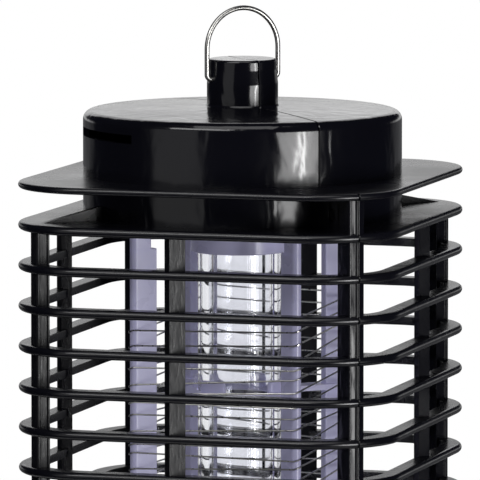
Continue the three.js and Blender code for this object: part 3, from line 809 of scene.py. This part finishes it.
collar_low, collar_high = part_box("lamp_collar")
foot_z, rim_z = collar_low[2] / MM, collar_high[2] / MM
collar_bore, collar_radius, collar_flange, flange_height, collar_ease = 13.7, 15.6, 20, 2, 0.3
collar_profile = [
    (collar_bore, foot_z + collar_ease),
    (collar_bore + collar_ease, foot_z),
    (collar_radius - collar_ease, foot_z),
    (collar_radius, foot_z + collar_ease),
    (collar_radius, rim_z - flange_height),
    (collar_flange - collar_ease, rim_z - flange_height),
    (collar_flange, rim_z - flange_height + collar_ease),
    (collar_flange, rim_z - collar_ease),
    (collar_flange - collar_ease, rim_z),
    (collar_bore, rim_z),
]
collar = full_turn("tube_collar", collar_profile, 96, 30)
collar.location.x = insert_x * MM
even_shading(collar)
collar.data.materials.append(lilac)
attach(collar, "case")
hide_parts("lamp_collar")

fin_foot_z, fin_tenon_z, fin_top_z = 37.34, 179.4, 190.4
fin_inner, fin_outer, fin_half = 30.7, 39.4, 1.7
tenon_step = 2


def fin_outline(start):
    nose = [(fin_outer - fin_half + fin_half * math.cos(a), fin_half * math.sin(a)) for a in
            (-math.pi / 2 + math.pi * step / 16 for step in range(17))]
    ease = 0.3
    before = [(start, ease - fin_half), (start + ease, -fin_half)]
    after = [(start + ease, fin_half), (start, fin_half - ease)]
    return before + nose + after


for name, degrees in (("front", -45), ("right", 45), ("back", 135), ("left", -135)):
    shape = bmesh.new()
    prism(shape, fin_outline(fin_inner), fin_foot_z, fin_tenon_z, math.radians(degrees))
    prism(shape, fin_outline(fin_inner + tenon_step), fin_tenon_z - 0.5, fin_top_z, math.radians(degrees))
    fin = finish_shape(shape, f"fin_{name}", False, 30)
    fin.location.x = insert_x * MM
    ease = fin.modifiers.new("eased_edges", "BEVEL")
    ease.width = 0.15 * MM
    ease.segments = 2
    ease.limit_method = "ANGLE"
    ease.angle_limit = math.radians(40)
    even_shading(fin)
    fin.data.materials.append(lilac)
    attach(fin, "case")
    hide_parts(f"grid_fin_{name}")


def coat_cad_node(node, material):
    thing = bpy.data.objects[node]
    thing.data.materials.clear()
    thing.data.materials.append(material)


coat_cad_node("grid_base", lilac)

# Brace. A thin spider half way up, forked on to the fins, with four round-ended claws that
# stand round the tube.
brace_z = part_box("grid_brace")[0][2] / MM
brace_thickness = 1.8
brace_top = brace_z + brace_thickness
hub_bore, hub_radius, hub_ease = 13.7, 18.5, 0.2
hub = [
    (hub_bore, brace_z + hub_ease),
    (hub_bore + hub_ease, brace_z),
    (hub_radius - hub_ease, brace_z),
    (hub_radius, brace_z + hub_ease),
    (hub_radius, brace_top - hub_ease),
    (hub_radius - hub_ease, brace_top),
    (hub_bore + hub_ease, brace_top),
    (hub_bore, brace_top - hub_ease),
]
spider = full_turn("brace_hub", hub, 96, 30)
arm_start, arm_end, arm_half = 17.8, 30.2, 3.5
fork_end, fork_half = 35, 2.05
arms = bmesh.new()
for degrees in (-45, 45, 135, -135):
    heading = math.radians(degrees)
    arm = [(arm_start, -arm_half), (arm_end, -arm_half), (arm_end, arm_half), (arm_start, arm_half)]
    prism(arms, arm, brace_z, brace_top, heading)
    for side in (-1, 1):
        tine = [(arm_end - 0.1, side * fork_half), (fork_end - 0.4, side * fork_half),
                (fork_end, side * (fork_half + 0.4)), (fork_end, side * (arm_half - 0.4)),
                (fork_end - 0.4, side * arm_half), (arm_end - 0.1, side * arm_half)]
        prism(arms, tine, brace_z, brace_top, heading)
arms = finish_shape(arms, "brace_arms", False, 30)
first_claw, claw_half_span = -108, 18
claw_reach, claw_half_thick, claw_half_high = 15.05, 1.1, 2.6
claw_squareness = 0.6
claws = bmesh.new()
for quarter in range(4):
    middle = math.radians(first_claw + 90 * quarter)
    half_span = math.radians(claw_half_span)
    rows = []
    for step in range(25):
        t = -1 + 2 * step / 24
        end = math.sqrt(max(0.0, 1 - max(0.0, (abs(t) - 0.72) / 0.28) ** 2))
        angle = middle + t * half_span
        row = []
        for corner in range(16):
            a = math.tau * corner / 16
            push = math.copysign(abs(math.cos(a)) ** claw_squareness, math.cos(a))
            lift = math.copysign(abs(math.sin(a)) ** claw_squareness, math.sin(a))
            reach = claw_reach + claw_half_thick * push * (0.25 + 0.75 * end)
            z = brace_top + 1.35 + claw_half_high * lift * (0.08 + 0.92 * end)
            row.append(claws.verts.new((reach * math.cos(angle) * MM, reach * math.sin(angle) * MM, z * MM)))
        rows.append(row)
    for first, second in zip(rows, rows[1:]):
        for corner in range(16):
            after = (corner + 1) % 16
            claws.faces.new((first[corner], first[after], second[after], second[corner]))
    claws.faces.new(rows[0])
    claws.faces.new(list(reversed(rows[-1])))
claws = finish_shape(claws, "brace_claws", False, 60)
for piece in (spider, arms, claws):
    piece.location.x = insert_x * MM
    if piece is not claws:
        even_shading(piece)
    piece.data.materials.append(lilac)
    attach(piece, "case")
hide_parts("grid_brace")

# Grid wires. Two bare steel wires, live and return, wound by hand round the fins a few
# millimetres apart; they are a little uneven and sag between fins.
fin_bend_reach = 37.7
wire_bend = 2.0
wire_turns = 14
wire_rise = 8.0
wire_radius = 0.28
bend_rise = 0.16
for node, start_z, seed in (("grid_wire_live", 49, 0.0), ("grid_wire_return", 53, 2.1)):
    points = []
    corners = wire_turns * 4
    for corner in range(corners):
        heading_angle = math.radians(-135) + corner * math.pi / 2
        wobble = 0.9 * math.sin(corner * 2.4 + seed) + 0.6 * math.sin(corner * 5.1 + seed * 3)
        base_z = start_z + corner * wire_rise / 4 + (wobble if 3 < corner < corners - 4 else 0)
        for step in range(-3, 4):
            lean = heading_angle + step * math.pi / 12
            points.append(Vector((
                insert_x + fin_bend_reach * math.cos(heading_angle) + wire_bend * math.cos(lean),
                fin_bend_reach * math.sin(heading_angle) + wire_bend * math.sin(lean),
                base_z + step * bend_rise,
            )) * MM)
    coil = wire(f"{node}_winding", points, wire_radius * MM, 2, drawn_steel, False)
    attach(coil, "case")
    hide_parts(node)

# Electronics in the head. A green fibreglass board with dipped film capacitors, one sleeved
# electrolytic, diodes and resistors, and a round lamp board under it; none of it shows when
# the case is closed.
# Screen-printed solder resist over glass cloth: leaf green, with the weave showing faintly.
board, tree, surface, place = new_material("green_solder_resist")
weave = add_node(tree, "ShaderNodeTexNoise", {"Scale": 1 / (2.5 * MM), "Detail": 2.0}, {"Vector": place})
resist = add_node(tree, "ShaderNodeMix", {"data_type": "RGBA", 6: hex_colour("1f5a33"),
                  7: hex_colour("2a6d40")}, {0: weave.outputs["Fac"]})
tree.links.new(resist.outputs[2], surface.inputs["Base Color"])
surface.inputs["Roughness"].default_value = 0.35


def moulded_colour(name, dark, light, rough, grain_mm):
    """A dipped, drawn or moulded skin: two close shades and a faint relief of one grain size."""
    material, tree, surface, place = new_material(name)
    speck = add_node(tree, "ShaderNodeTexNoise", {"Scale": 1 / (grain_mm * MM), "Detail": 2.0},
                     {"Vector": place})
    shade = add_node(tree, "ShaderNodeMix", {"data_type": "RGBA", 6: hex_colour(dark), 7: hex_colour(light)},
                     {0: speck.outputs["Fac"]})
    relief = add_node(tree, "ShaderNodeBump", {"Strength": 0.3, "Distance": 0.02 * MM},
                      {"Height": speck.outputs["Fac"]})
    tree.links.new(shade.outputs[2], surface.inputs["Base Color"])
    tree.links.new(relief.outputs["Normal"], surface.inputs["Normal"])
    surface.inputs["Roughness"].default_value = rough
    return material


dipped_epoxy = moulded_colour("dipped_red_epoxy", "7c2a1e", "97392a", 0.3, 3)
shrink_sleeve = moulded_colour("dark_shrink_sleeve", "16161f", "20202b", 0.4, 2)
lamp_silicone = moulded_colour("white_led_package", "d8d6c4", "efedda", 0.4, 1)
pvc_insulation = moulded_colour("red_pvc_insulation", "8f1d1a", "a82a24", 0.45, 2)
epdm_rubber = moulded_colour("black_epdm_rubber", "121212", "1c1c1c", 0.65, 0.8)
for node in ("driver_board", "led_board"):
    coat_cad_node(node, board)
for index in range(1, 5):
    coat_cad_node(f"film_capacitor_{index}", dipped_epoxy)
    coat_cad_node(f"diode_{index}", shrink_sleeve)
for index in range(1, 3):
    coat_cad_node(f"resistor_{index}", dipped_epoxy)
    coat_cad_node(f"led_lead_{index}", pvc_insulation)
for index in range(1, 6):
    coat_cad_node(f"uv_led_{index}", lamp_silicone)
coat_cad_node("smoothing_capacitor", shrink_sleeve)
coat_cad_node("grid_lead_live", pvc_insulation)
coat_cad_node("grid_lead_return", pvc_insulation)
coat_cad_node("cord_inlet", epdm_rubber)

# Screws. Small self-tapping screws, steel with a black zinc coat, two in the board and four
# across the seam webs.
# Black passivated zinc on steel: a dark metal, dulled in patches by the crystals of the coat.
black_zinc, tree, surface, place = new_material("black_zinc_steel")
surface.inputs["Base Color"].default_value = hex_colour("3a3a3c")
surface.inputs["Metallic"].default_value = 1
crystal = add_node(tree, "ShaderNodeTexNoise", {"Scale": 1 / (0.6 * MM), "Detail": 3.0}, {"Vector": place})
dull = add_node(tree, "ShaderNodeMapRange", {"From Min": 0.3, "From Max": 0.7, "To Min": 0.28,
                "To Max": 0.45}, {"Value": crystal.outputs["Fac"]})
tree.links.new(dull.outputs["Result"], surface.inputs["Roughness"])
for index in range(1, 5):
    coat_cad_node(f"case_screw_{index}", black_zinc)
for index in range(1, 3):
    coat_cad_node(f"board_screw_{index}", black_zinc)
